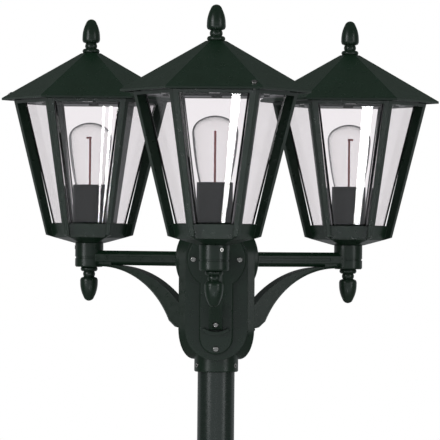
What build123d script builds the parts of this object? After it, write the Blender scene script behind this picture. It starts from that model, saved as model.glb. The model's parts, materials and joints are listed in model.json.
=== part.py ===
"""Triple head lamp post: three six-sided lanterns on cast arms round a post.

Millimetres, +Z up. The origin is on the pole's axis, on the ground.
The pieces of one head are modelled in the head's own frame: +X points away
from the pole, and z = 0 is the arm's axis, on the lantern's axis.
A copy of each then goes to every head.
"""

from build123d import *

import math
import os

# ---------------------------------------------------------------- the post
ARM_HEIGHT = 1770.0
ARM_REACH = 207.0
HEADS = {"front": -90.0, "right": 30.0, "left": 150.0}

# ------------------------------------------------------- lantern, the cage
SIDES = 6
EAVE_Z = 217.0
POST_FOOT_Z = 31.0
BAND_FOOT_Z = 28.0
BAND_TOP_Z = 45.0
CAGE_TOP_RADIUS = 106.5
CAGE_FOOT_RADIUS = 60.5
POST_LEG_TOP = 8.0
POST_LEG_FOOT = 5.8
BAND_RECESS = 8.0
RAIL_HEIGHT = 4.5
FLOOR_THICKNESS = 4.0
FLOOR_TOP_Z = 41.0
DRAINS = 3
DRAIN_RADIUS = 3.0
DRAIN_CIRCLE_RADIUS = 30.0
# How far a cut runs past what it cuts.
CUT_PAST = 4.0

# ------------------------------------------------------------------- panes
PANE_THICKNESS = 2.8
PANE_DEPTH = 13.0
REBATE_DEPTH = 3.4
REBATE_LAP = 1.6
PANE_PLAY = 0.2
CLIP_WIDTH = 14.0
CLIP_REACH = 4.0
CLIP_THICKNESS = 0.8

# -------------------------------------------------------------------- roof
ROOF_OVERHANG = 17.0
ROOF_RIM = 3.0
ROOF_TOP_RADIUS = 13.5
ROOF_TOP_Z = 283.0
ROOF_WALL = 3.0
ROOF_LUG_WIDTH = 7.0
ROOF_LUG_INSET = 1.0
ROOF_LUG_LENGTH = 10.0
ROOF_BOSS_RADIUS = 11.0
ROOF_BOSS_DEPTH = 15.0
ROOF_SCREW_FROM_HIP = 11.5
ROOF_SCREW_ABOVE_EAVE = 8.0
ROOF_SCREW_RADIUS = 2.0
ROOF_SCREW_HEAD_RADIUS = 3.8
ROOF_SCREW_HEAD_HEIGHT = 2.4
ROOF_SCREW_TIP_GAP = 0.3

# ------------------------------------------------------------------ finial
FINIAL_RING_RADIUS = 11.8
FINIAL_RING_HEIGHT = 6.0
FINIAL_GROOVE_RADIUS = 7.2
FINIAL_NECK_RADIUS = 8.4
FINIAL_NECK_HEIGHT = 7.4
FINIAL_ACORN_RADIUS = 12.2
FINIAL_ACORN_LENGTH = 33.6
STUD_RADIUS = 3.0
STUD_LENGTH = 10.0
STUD_PLAY = 0.5

# ---------------------------------------------------- lampholder and bulb
HOLDER_RADIUS = 23.3
HOLDER_TOP_Z = 101.0
HOLDER_BORE_RADIUS = 21.4
HOLDER_FLOOR = 5.0
HOLDER_EDGE = 0.8
INSERT_FLANGE = 4.0
INSERT_TOP_Z = 74.0
INSERT_WALL = 1.6
CAP_RADIUS = 13.1
CAP_LENGTH = 24.0
CAP_WALL = 0.6
CAP_THREAD_DEPTH = 0.7
CAP_THREADS = 6
CAP_PLAY = 0.4
CONTACT_RADIUS = 4.5
CONTACT_HEIGHT = 2.0
GLASS_WALL = 0.9
GLASS_IN_CAP = 7.0
GLASS_FLARE_RADIUS = 15.0
GLASS_FLARE_HEIGHT = 6.0
GLASS_MOUTH_RADIUS = 20.4
GLASS_RADIUS = 29.7
GLASS_WIDEST_Z = 163.0
GLASS_BEND_RADIUS = 26.9
GLASS_BEND_Z = 174.6
GLASS_CROWN_RADIUS = 19.0
GLASS_CROWN_Z = 181.8
GLASS_TOP_Z = 187.0
STEM_DISC = 1.2
STEM_RADIUS = 3.2
STEM_TOP_Z = 101.0
FILAMENT_ROOT = 1.0
FILAMENT_RADIUS = 1.5
FILAMENT_TOP_Z = 166.0
FILAMENT_HOOK = 7.0

# ------------------------------------------------------- nipple and dish
NIPPLE_RADIUS = 5.0
NIPPLE_BORE_RADIUS = 3.6
NIPPLE_IN_HOLDER = 4.0
NIPPLE_BELOW_NUT = 3.0
LOCK_NUT_RADIUS = 8.6
LOCK_NUT_HEIGHT = 5.0
HOLE_PLAY = 0.2
DISH_LOW_Z = 20.0
DISH_LOW_RADIUS = 21.0
DISH_WALL = 3.0
SPIGOT_RADIUS = 14.0
SPIGOT_BORE_RADIUS = 10.5
SPIGOT_FOOT_Z = 4.5
SPIGOT_WEB = 4.0
SPIGOT_PLAY = 0.2

# --------------------------------------------------------------------- arm
BOSS_RADIUS = 19.5
BOSS_FOOT_Z = -13.0
BOSS_WEB = 7.0
BOSS_EDGE = 1.6
BOSS_GROOVE = 2.4
BOSS_GROOVE_DEPTH = 1.0
ARM_SIZE = 20.0
ARM_BEVEL = 5.0
FLUTE_HEIGHT = 4.0
FLUTE_DEPTH = 1.0
FLUTE_MARGIN = 14.0
ARM_BORE_RADIUS = 3.6
ROOT_RADIUS = 16.0
ROOT_THICKNESS = 5.0
ROOT_SKIN = 0.5
BRACE_WIDTH = 18.0
BRACE_BEVEL = 3.5
BRACE_LOWER_RADIUS = 123.0
BRACE_LOWER_START = 185.0
BRACE_LOWER_END = 73.0
BRACE_INTO_BOSS = 1.0
BRACE_UPPER_RADIUS = 146.0
BRACE_UPPER_START = 165.0
BRACE_TOE_DISTANCE = 63.0
BRACE_TOE_Z = -92.5
BRACE_FOOT_Z = -95.0
GRUB_RADIUS = 2.5
HEAD_GRUB_Z = 14.0
HEAD_GRUB_ANGLE = 30.0

# -------------------------------------------------------------------- hub
PAD_FACE = 34.8
PAD_HALF_WIDTH = 42.0
PAD_LOW_Z = -93.7
PAD_BACK = 5.0
HUB_WIRE_RADIUS = 7.0
COLLAR_RADIUS = 29.7
COLLAR_FOOT_Z = -151.8
COLLAR_EDGE = 1.2
POLE_STOP_Z = -62.0
HUB_TOP_Z = 26.0
HUB_TOP_WALL = 6.0
HUB_CAVITY_RADIUS = 21.0
HUB_SHELF_Z = -16.0
HUB_SHELF_THICKNESS = 4.0
HUB_SHELF_ROOT = 1.0
SHELF_HOLE_RADIUS = 4.0
SHELF_HOLE_CIRCLE_RADIUS = 15.0
HUB_GRUB_Z = -143.0

# ------------------------------------------------------------- wall plate
GASKET_THICKNESS = 1.0
PLATE_THICKNESS = 7.0
PLATE_RADIUS = 39.8
PLATE_TONGUE_HALF = 22.5
PLATE_LOW_Z = -105.0
PLATE_EDGE = 1.8
PLATE_SCREW_SIDE = 31.0
PLATE_SCREW_LOW_Z = -120.0
LIP_RADIUS = 32.0
LIP_WALL = 4.5
LIP_HEIGHT = 7.0
LIP_ROOT = 0.5
LIP_PLAY = 0.2
LIP_HALF_ANGLE = 35.0
SCREW_RADIUS = 2.5
SCREW_HEAD_RADIUS = 3.8
SCREW_HEAD_HEIGHT = 2.8
SCREW_SLOT = 1.0
SCREW_SLOT_DEPTH = 1.2
PLATE_SCREW_LENGTH = 15.0
BRACE_SCREW_Z = -87.0
BRACE_SCREW_SEAT = 61.0
BRACE_SCREW_SHORT = 0.5
ROOT_SCREW_SIDE = 11.0
ROOT_SCREW_RADIUS = 2.0
ROOT_SCREW_HEAD_RADIUS = 3.6
ROOT_SCREW_HEAD_HEIGHT = 2.2

# ---------------------------------------------------------- pole and foot
POLE_RADIUS = 25.0
POLE_WALL = 3.0
POLE_PLAY = 0.2
POLE_GRUB_RADIUS = 3.0
GRUB_PROUD = 0.6
GRUB_SOCKET_DEPTH = 2.0
FOOT_RADIUS = 115.0
FOOT_FLANGE = 10.0
FOOT_WEB = 12.0
FOOT_CONE_RADIUS = 62.0
FOOT_CONE_TOP_Z = 52.0
FOOT_TOP_Z = 96.0
FOOT_GRUB_Z = 86.0
FOOT_EDGE = 3.0
ANCHOR_RADIUS = 5.5
ANCHOR_CIRCLE_RADIUS = 95.0
GROMMET_RADIUS = 10.0
GROMMET_BORE_RADIUS = 6.0
GROMMET_LIP = 2.5
GROMMET_LIP_HEIGHT = 2.0
BLOCK_LENGTH = 24.0
BLOCK_WIDTH = 12.0
BLOCK_HEIGHT = 11.0
BLOCK_WAYS = 3
BLOCK_WAY_RADIUS = 2.0

# ------------------------------------------- values that follow from those
COS_SIDE = math.cos(math.pi / SIDES)
CAGE_DEPTH = PANE_DEPTH + REBATE_DEPTH
CAGE_SPREAD = (CAGE_TOP_RADIUS - CAGE_FOOT_RADIUS) / (EAVE_Z - POST_FOOT_Z)
FACE_TILT = math.atan(CAGE_SPREAD * COS_SIDE)
ROOF_RADIUS = CAGE_TOP_RADIUS + ROOF_OVERHANG
ROOF_LUG_OUTER = CAGE_TOP_RADIUS - ROOF_LUG_INSET
ROOF_LUG_INNER = ROOF_LUG_OUTER - ROOF_LUG_LENGTH
ROOF_SCREW_SIDE = ROOF_RADIUS / 2 - ROOF_SCREW_FROM_HIP
ROOF_SLOPE = (ROOF_TOP_Z - EAVE_Z - ROOF_RIM) / (ROOF_RADIUS - ROOF_TOP_RADIUS)
ROOF_PITCH = math.atan(ROOF_SLOPE / COS_SIDE)
ROOF_DROP = ROOF_WALL / math.cos(ROOF_PITCH)
WINDOW_TOP_Z = EAVE_Z - RAIL_HEIGHT
PLATE_BACK = PAD_FACE + GASKET_THICKNESS
PLATE_FACE = PLATE_BACK + PLATE_THICKNESS
HOLDER_FLOOR_Z = FLOOR_TOP_Z + HOLDER_FLOOR
CAP_FOOT_Z = HOLDER_FLOOR_Z + INSERT_FLANGE
SPIGOT_TOP_Z = FLOOR_TOP_Z - FLOOR_THICKNESS
LOCK_NUT_Z = SPIGOT_TOP_Z - SPIGOT_WEB - LOCK_NUT_HEIGHT
INSERT_BORE_RADIUS = CAP_RADIUS + CAP_PLAY
BRACE_SCREW_TIP = PLATE_BACK + BRACE_SCREW_SHORT
LIP_INNER = LIP_RADIUS - LIP_WALL
LIP_RISE = LIP_INNER - math.sqrt(LIP_INNER**2 - (BRACE_WIDTH / 2) ** 2)
LIP_CENTRE_Z = BRACE_FOOT_Z - LIP_PLAY - LIP_RISE + LIP_INNER
UP = (0, 0, 1)


def cage_radius(z):
    """Corner radius of the cage's outer faces at a height."""
    return CAGE_FOOT_RADIUS + CAGE_SPREAD * (z - POST_FOOT_Z)


def inward(depth):
    """Corner radius lost when every cage face moves in by a depth."""
    return depth / math.cos(FACE_TILT) / COS_SIDE


def leg_width(z):
    """Width of a post's leg on each cage face at a height."""
    share = (z - POST_FOOT_Z) / (EAVE_Z - POST_FOOT_Z)
    return POST_LEG_FOOT + (POST_LEG_TOP - POST_LEG_FOOT) * share


def face_plane(angle, depth=0.0):
    """Plane of one cage face, moved in by a depth; its y runs up the slope."""
    turn = math.radians(angle)
    out = (math.cos(turn), math.sin(turn))
    along = (-math.sin(turn), math.cos(turn), 0)
    flat = (cage_radius(EAVE_Z) - inward(depth)) * COS_SIDE
    lean = math.cos(FACE_TILT)
    normal = (out[0] * lean, out[1] * lean, -math.sin(FACE_TILT))
    return Plane(origin=(out[0] * flat, out[1] * flat, EAVE_Z), x_dir=along, z_dir=normal)


def face_outline(low_z, high_z, grow=0.0):
    """Corners of the glazed field of a cage face, between two heights."""
    corners = []
    for z, side in ((low_z, -1), (low_z, 1), (high_z, 1), (high_z, -1)):
        half = cage_radius(z) / 2 - leg_width(z) + grow
        corners.append((side * half, (z - EAVE_Z) / math.cos(FACE_TILT)))
    return corners


def hexagon(radius, z):
    """Sketch of a hexagon with a flat side towards +X, at a height."""
    with BuildSketch(Plane.XY.offset(z)) as outline:
        RegularPolygon(radius, SIDES, rotation=180 / SIDES)
    return outline.sketch


def frustum(low_radius, low_z, high_radius, high_z):
    """Hexagonal frustum between two heights."""
    return loft([hexagon(low_radius, low_z), hexagon(high_radius, high_z)])


def outward_plane(distance, z=0.0):
    """Upright plane at a distance from the pole, facing out along the arm."""
    return Plane(origin=(distance - ARM_REACH, 0, z), x_dir=(0, 1, 0), z_dir=(1, 0, 0))


def slotted_screw(head_radius, head_height, shank_radius, length):
    """Pan-head screw: the head's seat at z = 0, the shank below it."""
    with BuildPart() as screw:
        Cylinder(shank_radius, length, align=(Align.CENTER, Align.CENTER, Align.MAX))
        Cylinder(head_radius, head_height, align=(Align.CENTER, Align.CENTER, Align.MIN))
        fillet(screw.edges().group_by(Axis.Z)[-1], head_height * 0.45)
        with BuildSketch(Plane.XY.offset(head_height)):
            Rectangle(head_radius * 2, SCREW_SLOT)
        extrude(amount=-SCREW_SLOT_DEPTH, mode=Mode.SUBTRACT)
    return screw.part


def grub_screw(radius, length):
    """Grub screw with a hexagonal socket: outer end at z = 0, tip below."""
    with BuildPart() as screw:
        Cylinder(radius, length, align=(Align.CENTER, Align.CENTER, Align.MAX))
        chamfer(screw.edges().group_by(Axis.Z)[0], radius * 0.25)
        with BuildSketch(Plane.XY):
            RegularPolygon(radius * 0.55, SIDES)
        extrude(amount=-GRUB_SOCKET_DEPTH, mode=Mode.SUBTRACT)
    return screw.part


def group(solids):
    """Separate solids that share one node."""
    return Compound(children=list(solids))


def head_place(angle):
    """Place of a head's own frame in the post's frame."""
    turn = math.radians(angle)
    spot = (ARM_REACH * math.cos(turn), ARM_REACH * math.sin(turn), ARM_HEIGHT)
    return Location(spot, (0, 0, angle))


def save(shape, label):
    shape.label = label
    export_step(shape, f"parts/{label}.step")


# -------------------------------------------------------------------- cage
FACE_ANGLES = [360 / SIDES * side for side in range(SIDES)]
# The floor reaches halfway into the wall round it.
FLOOR_RADIUS = cage_radius(SPIGOT_TOP_Z) - inward((BAND_RECESS + CAGE_DEPTH) / 2)
DISH_RIM_RADIUS = cage_radius(BAND_FOOT_Z) - inward(BAND_RECESS)

with BuildPart() as cage:
    add(frustum(CAGE_FOOT_RADIUS, POST_FOOT_Z, CAGE_TOP_RADIUS, EAVE_Z))
    # The feet of the posts slope inwards, in line with the dish below.
    add(frustum(DISH_RIM_RADIUS, BAND_FOOT_Z, CAGE_FOOT_RADIUS, POST_FOOT_Z))
    for angle in FACE_ANGLES:
        with BuildSketch(face_plane(angle)):
            with BuildLine():
                Polyline(*face_outline(BAND_FOOT_Z - CUT_PAST, BAND_TOP_Z), close=True)
            make_face()
        extrude(amount=-BAND_RECESS, mode=Mode.SUBTRACT)
    add(
        frustum(
            cage_radius(BAND_FOOT_Z) - inward(BAND_RECESS),
            BAND_FOOT_Z,
            cage_radius(BAND_TOP_Z) - inward(BAND_RECESS),
            BAND_TOP_Z,
        )
    )
    add(
        frustum(
            cage_radius(BAND_FOOT_Z) - inward(CAGE_DEPTH),
            BAND_FOOT_Z,
            cage_radius(EAVE_Z) - inward(CAGE_DEPTH),
            EAVE_Z,
        ),
        mode=Mode.SUBTRACT,
    )
    for angle in FACE_ANGLES:
        with BuildSketch(face_plane(angle)):
            with BuildLine():
                Polyline(*face_outline(BAND_TOP_Z, WINDOW_TOP_Z), close=True)
            make_face()
        extrude(amount=-CAGE_DEPTH - CUT_PAST, mode=Mode.SUBTRACT)
        with BuildSketch(face_plane(angle, PANE_DEPTH)):
            with BuildLine():
                Polyline(
                    *face_outline(BAND_TOP_Z - REBATE_LAP, WINDOW_TOP_Z + REBATE_LAP, REBATE_LAP),
                    close=True,
                )
            make_face()
        extrude(amount=-CAGE_DEPTH, mode=Mode.SUBTRACT)
    with BuildSketch(Plane.XY.offset(FLOOR_TOP_Z - FLOOR_THICKNESS)):
        RegularPolygon(FLOOR_RADIUS, SIDES, rotation=180 / SIDES)
        Circle(NIPPLE_RADIUS + HOLE_PLAY, mode=Mode.SUBTRACT)
        with PolarLocations(DRAIN_CIRCLE_RADIUS, DRAINS):
            Circle(DRAIN_RADIUS, mode=Mode.SUBTRACT)
    extrude(amount=FLOOR_THICKNESS)

# ------------------------------------------------------------------- panes
pane_solids = []
clip_solids = []
for angle in FACE_ANGLES:
    with BuildPart() as pane:
        with BuildSketch(face_plane(angle, PANE_DEPTH + PANE_PLAY)):
            with BuildLine():
                Polyline(
                    *face_outline(
                        BAND_TOP_Z - REBATE_LAP + PANE_PLAY,
                        WINDOW_TOP_Z + REBATE_LAP - PANE_PLAY,
                        REBATE_LAP - PANE_PLAY,
                    ),
                    close=True,
                )
            make_face()
        extrude(amount=-PANE_THICKNESS)
    pane_solids.append(pane.part)
    # A clip lies on the inside of the rail and reaches over the top edge of the pane.
    with BuildPart() as clip:
        with BuildSketch(face_plane(angle, CAGE_DEPTH)):
            with Locations((0, (WINDOW_TOP_Z + CLIP_REACH / 2 - EAVE_Z) / math.cos(FACE_TILT))):
                Rectangle(CLIP_WIDTH, CLIP_REACH)
        extrude(amount=-CLIP_THICKNESS)
    clip_solids.append(clip.part)

# -------------------------------------------------------------------- roof
ROOF_RIM_Z = EAVE_Z + ROOF_RIM
LIP_INNER_RADIUS = ROOF_RADIUS - ROOF_WALL / COS_SIDE


def roof_corner_z(radius, drop=0.0):
    """Height of the roof's hip at a corner radius, dropped by an amount."""
    return ROOF_RIM_Z + (ROOF_RADIUS - radius) * ROOF_SLOPE - drop


SCREW_HEAD_Z = EAVE_Z + ROOF_SCREW_ABOVE_EAVE
SCREW_HEAD_X = (ROOF_RADIUS - (SCREW_HEAD_Z - ROOF_RIM_Z) / ROOF_SLOPE) * COS_SIDE
roof_screw_plane = Plane(
    origin=(SCREW_HEAD_X, ROOF_SCREW_SIDE, SCREW_HEAD_Z),
    x_dir=(0, 1, 0),
    z_dir=(math.sin(ROOF_PITCH), 0, math.cos(ROOF_PITCH)),
)
ROOF_SCREW_LENGTH = (
    SCREW_HEAD_X - CAGE_TOP_RADIUS * COS_SIDE - ROOF_SCREW_TIP_GAP - ROOF_SCREW_RADIUS
) / math.sin(ROOF_PITCH)

with BuildPart() as roof:
    with BuildSketch(Plane.XY.offset(EAVE_Z)):
        RegularPolygon(ROOF_RADIUS, SIDES, rotation=180 / SIDES)
    extrude(amount=ROOF_RIM)
    add(frustum(ROOF_RADIUS, ROOF_RIM_Z, ROOF_TOP_RADIUS, ROOF_TOP_Z))
    add(
        frustum(
            LIP_INNER_RADIUS,
            EAVE_Z,
            LIP_INNER_RADIUS,
            roof_corner_z(LIP_INNER_RADIUS, ROOF_DROP),
        ),
        mode=Mode.SUBTRACT,
    )
    add(
        frustum(
            LIP_INNER_RADIUS,
            roof_corner_z(LIP_INNER_RADIUS, ROOF_DROP),
            ROOF_TOP_RADIUS,
            roof_corner_z(ROOF_TOP_RADIUS, ROOF_DROP),
        ),
        mode=Mode.SUBTRACT,
    )
    # Six lugs under the hips stand on the tops of the cage's posts.
    for angle in FACE_ANGLES:
        turn = math.radians(angle + 180 / SIDES)
        lug_plane = Plane(
            origin=(0, 0, 0),
            x_dir=(math.cos(turn), math.sin(turn), 0),
            z_dir=(math.sin(turn), -math.cos(turn), 0),
        )
        with BuildSketch(lug_plane):
            with BuildLine():
                Polyline(
                    (ROOF_LUG_INNER, EAVE_Z),
                    (ROOF_LUG_OUTER, EAVE_Z),
                    (ROOF_LUG_OUTER, roof_corner_z(ROOF_LUG_OUTER, ROOF_DROP / 2)),
                    (ROOF_LUG_INNER, roof_corner_z(ROOF_LUG_INNER, ROOF_DROP / 2)),
                    close=True,
                )
            make_face()
        extrude(amount=ROOF_LUG_WIDTH / 2, both=True)
    with BuildSketch(Plane.XY.offset(ROOF_TOP_Z)):
        Circle(ROOF_BOSS_RADIUS)
    extrude(amount=-ROOF_BOSS_DEPTH)
    with BuildSketch(Plane.XY.offset(ROOF_TOP_Z)):
        Circle(STUD_RADIUS + HOLE_PLAY / 2)
    extrude(amount=-STUD_LENGTH, mode=Mode.SUBTRACT)
    with BuildSketch(roof_screw_plane):
        Circle(ROOF_SCREW_RADIUS + HOLE_PLAY)
    extrude(amount=ROOF_SCREW_LENGTH, both=True, mode=Mode.SUBTRACT)

roof_screw = roof_screw_plane.location * slotted_screw(
    ROOF_SCREW_HEAD_RADIUS, ROOF_SCREW_HEAD_HEIGHT, ROOF_SCREW_RADIUS, ROOF_SCREW_LENGTH
)

# ----------------------------------------------------------------- finials
NECK_Z = FINIAL_RING_HEIGHT
ACORN_Z = NECK_Z + FINIAL_NECK_HEIGHT
TIP_Z = ACORN_Z + FINIAL_ACORN_LENGTH

with BuildPart() as finial:
    with BuildSketch(Plane.XZ):
        with BuildLine():
            stud = Polyline(
                (0, STUD_PLAY - STUD_LENGTH),
                (STUD_RADIUS, STUD_PLAY - STUD_LENGTH),
                (STUD_RADIUS, 0),
                (FINIAL_RING_RADIUS * 0.89, 0),
            )
            ring = ThreePointArc(
                stud @ 1,
                (FINIAL_RING_RADIUS, NECK_Z * 0.45),
                (FINIAL_GROOVE_RADIUS, NECK_Z),
            )
            neck = ThreePointArc(
                ring @ 1,
                (FINIAL_NECK_RADIUS, (NECK_Z + ACORN_Z) / 2),
                (FINIAL_GROOVE_RADIUS, ACORN_Z),
            )
            ledge = Line(neck @ 1, (FINIAL_ACORN_RADIUS * 0.9, ACORN_Z + FINIAL_ACORN_LENGTH * 0.05))
            shoulder = ThreePointArc(
                ledge @ 1,
                (FINIAL_ACORN_RADIUS * 0.98, ACORN_Z + FINIAL_ACORN_LENGTH * 0.11),
                (FINIAL_ACORN_RADIUS, ACORN_Z + FINIAL_ACORN_LENGTH * 0.22),
            )
            side = ThreePointArc(
                shoulder @ 1,
                (FINIAL_ACORN_RADIUS * 0.9, ACORN_Z + FINIAL_ACORN_LENGTH * 0.55),
                (FINIAL_ACORN_RADIUS * 0.6, ACORN_Z + FINIAL_ACORN_LENGTH * 0.84),
            )
            TangentArc((0, TIP_Z), side @ 1, tangent=(1, 0))
            Line((0, TIP_Z), stud @ 0)
        make_face()
    revolve(axis=Axis.Z)

top_finial = finial.part.moved(Location((0, 0, ROOF_TOP_Z)))
bottom_finial = finial.part.moved(Location((0, 0, BOSS_FOOT_Z), (180, 0, 0)))

# -------------------------------------------------------------- lampholder
with BuildPart() as lamp_holder:
    with BuildSketch(Plane.XY.offset(FLOOR_TOP_Z)):
        Circle(HOLDER_RADIUS)
    extrude(amount=HOLDER_TOP_Z - FLOOR_TOP_Z)
    fillet(lamp_holder.edges().group_by(Axis.Z)[-1], HOLDER_EDGE)
    chamfer(lamp_holder.edges().group_by(Axis.Z)[0], HOLDER_EDGE)
    with BuildSketch(Plane.XY.offset(HOLDER_TOP_Z)):
        Circle(HOLDER_BORE_RADIUS)
    extrude(amount=HOLDER_FLOOR_Z - HOLDER_TOP_Z, mode=Mode.SUBTRACT)
    with BuildSketch(Plane.XY.offset(FLOOR_TOP_Z)):
        Circle(NIPPLE_RADIUS + HOLE_PLAY)
    extrude(amount=HOLDER_FLOOR, mode=Mode.SUBTRACT)

with BuildPart() as holder_insert:
    with BuildSketch(Plane.XY.offset(HOLDER_FLOOR_Z)):
        Circle(HOLDER_BORE_RADIUS - HOLE_PLAY)
    extrude(amount=INSERT_FLANGE)
    with BuildSketch(Plane.XY.offset(CAP_FOOT_Z)):
        Circle(INSERT_BORE_RADIUS + INSERT_WALL)
        Circle(INSERT_BORE_RADIUS, mode=Mode.SUBTRACT)
    extrude(amount=INSERT_TOP_Z - CAP_FOOT_Z)

# -------------------------------------------------------------------- bulb
CAP_TOP_Z = CAP_FOOT_Z + CAP_LENGTH
THREAD_PITCH = (CAP_LENGTH - CONTACT_HEIGHT * 4) / CAP_THREADS

with BuildPart() as bulb_cap:
    with BuildSketch(Plane.XZ):
        with BuildLine():
            outer = [(0, CAP_FOOT_Z), (CONTACT_RADIUS, CAP_FOOT_Z)]
            outer.append((CONTACT_RADIUS, CAP_FOOT_Z + CONTACT_HEIGHT))
            outer.append((CAP_RADIUS - CAP_THREAD_DEPTH, CAP_FOOT_Z + CONTACT_HEIGHT * 3))
            for thread in range(CAP_THREADS):
                root_z = CAP_FOOT_Z + CONTACT_HEIGHT * 3 + THREAD_PITCH * thread
                outer.append((CAP_RADIUS, root_z + THREAD_PITCH / 2))
                outer.append((CAP_RADIUS - CAP_THREAD_DEPTH, root_z + THREAD_PITCH))
            outer.append((CAP_RADIUS - CAP_THREAD_DEPTH, CAP_TOP_Z))
            hollow = CAP_RADIUS - CAP_THREAD_DEPTH - CAP_WALL
            outer.append((hollow, CAP_TOP_Z))
            outer.append((hollow, CAP_FOOT_Z + CONTACT_HEIGHT * 3 + CAP_WALL))
            outer.append((0, CAP_FOOT_Z + CONTACT_HEIGHT + CAP_WALL))
            Polyline(*outer, close=True)
        make_face()
    revolve(axis=Axis.Z)

GLASS_FOOT_Z = CAP_TOP_Z - GLASS_IN_CAP
GLASS_FLARE_Z = CAP_TOP_Z + GLASS_FLARE_HEIGHT
GLASS_NECK = CAP_RADIUS - CAP_THREAD_DEPTH - CAP_WALL - HOLE_PLAY


def bulb_line(inset):
    """Half outline of the bulb, moved in by a wall; gives its two ends."""
    neck = Line((GLASS_NECK - inset, GLASS_FOOT_Z), (GLASS_NECK - inset, CAP_TOP_Z))
    flare = Line(neck @ 1, (GLASS_FLARE_RADIUS - inset, GLASS_FLARE_Z))
    side = ThreePointArc(
        flare @ 1,
        (GLASS_MOUTH_RADIUS - inset, HOLDER_TOP_Z),
        (GLASS_RADIUS - inset, GLASS_WIDEST_Z),
    )
    shoulder = ThreePointArc(
        side @ 1,
        (GLASS_BEND_RADIUS - inset * 0.9, GLASS_BEND_Z - inset * 0.4),
        (GLASS_CROWN_RADIUS - inset * 0.6, GLASS_CROWN_Z - inset * 0.8),
    )
    crown = TangentArc((0, GLASS_TOP_Z - inset), shoulder @ 1, tangent=(1, 0))
    return neck @ 0, crown @ 0


with BuildPart() as bulb_glass:
    with BuildSketch(Plane.XZ):
        with BuildLine():
            outer_foot, outer_top = bulb_line(0.0)
            inner_foot, inner_top = bulb_line(GLASS_WALL)
            Line(outer_top, inner_top)
            Line(outer_foot, inner_foot)
        make_face()
    revolve(axis=Axis.Z)

with BuildPart() as bulb_filament:
    with BuildSketch(Plane.XY.offset(GLASS_FOOT_Z)):
        Circle(GLASS_NECK - GLASS_WALL - HOLE_PLAY)
    extrude(amount=STEM_DISC)
    with BuildSketch(Plane.XY.offset(GLASS_FOOT_Z)):
        Circle(STEM_RADIUS)
    extrude(amount=STEM_TOP_Z - GLASS_FOOT_Z)
    fillet(bulb_filament.edges().group_by(Axis.Z)[-1], STEM_RADIUS * 0.6)
    with BuildSketch(Plane.XY.offset(STEM_TOP_Z - FILAMENT_ROOT)):
        Circle(FILAMENT_RADIUS)
    extrude(amount=FILAMENT_TOP_Z - STEM_TOP_Z + FILAMENT_ROOT)
    with BuildSketch(Plane.YZ.offset(-FILAMENT_RADIUS)):
        with Locations((0, FILAMENT_TOP_Z)):
            Circle(FILAMENT_RADIUS)
    extrude(amount=FILAMENT_HOOK)

# --------------------------------------------------------- nipple and dish
with BuildPart() as nipple:
    with BuildSketch(Plane.XY.offset(LOCK_NUT_Z - NIPPLE_BELOW_NUT)):
        Circle(NIPPLE_RADIUS)
        Circle(NIPPLE_BORE_RADIUS, mode=Mode.SUBTRACT)
    extrude(amount=FLOOR_TOP_Z + NIPPLE_IN_HOLDER - LOCK_NUT_Z + NIPPLE_BELOW_NUT)

with BuildPart() as lock_nut:
    with BuildSketch(Plane.XY.offset(LOCK_NUT_Z)):
        RegularPolygon(LOCK_NUT_RADIUS, SIDES)
        Circle(NIPPLE_RADIUS + HOLE_PLAY / 2, mode=Mode.SUBTRACT)
    extrude(amount=LOCK_NUT_HEIGHT)

with BuildPart() as base_dish:
    add(frustum(DISH_LOW_RADIUS, DISH_LOW_Z, DISH_RIM_RADIUS, BAND_FOOT_Z))
    add(
        frustum(
            DISH_LOW_RADIUS - DISH_WALL,
            DISH_LOW_Z + DISH_WALL,
            DISH_RIM_RADIUS - DISH_WALL,
            BAND_FOOT_Z + DISH_WALL,
        ),
        mode=Mode.SUBTRACT,
    )
    with BuildSketch(Plane.XY.offset(SPIGOT_FOOT_Z)):
        Circle(SPIGOT_RADIUS)
    extrude(amount=SPIGOT_TOP_Z - SPIGOT_FOOT_Z)
    with BuildSketch(Plane.XY.offset(SPIGOT_FOOT_Z)):
        Circle(SPIGOT_BORE_RADIUS)
    extrude(amount=SPIGOT_TOP_Z - SPIGOT_WEB - SPIGOT_FOOT_Z, mode=Mode.SUBTRACT)
    with BuildSketch(Plane.XY.offset(SPIGOT_TOP_Z)):
        Circle(NIPPLE_RADIUS + HOLE_PLAY)
    extrude(amount=-SPIGOT_WEB, mode=Mode.SUBTRACT)

# --------------------------------------------------------------------- arm
def brace_lower_z(distance):
    """Height of the brace's lower edge at a distance from the pole."""
    run = BRACE_LOWER_START - distance
    return BOSS_FOOT_Z + BRACE_INTO_BOSS - BRACE_LOWER_RADIUS + math.sqrt(BRACE_LOWER_RADIUS**2 - run**2)


def brace_upper_z(distance):
    """Height of the brace's upper edge at a distance from the pole."""
    run = BRACE_UPPER_START - distance
    return -ARM_SIZE / 2 - BRACE_UPPER_RADIUS + math.sqrt(BRACE_UPPER_RADIUS**2 - run**2)


def arm_point(distance, z):
    """Point of the arm's side view; x counts from the lantern's axis."""
    return (distance - ARM_REACH, z)


LOWER_MIDDLE = (BRACE_LOWER_START + BRACE_LOWER_END) / 2
UPPER_MIDDLE = (BRACE_UPPER_START + PLATE_FACE) / 2

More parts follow.
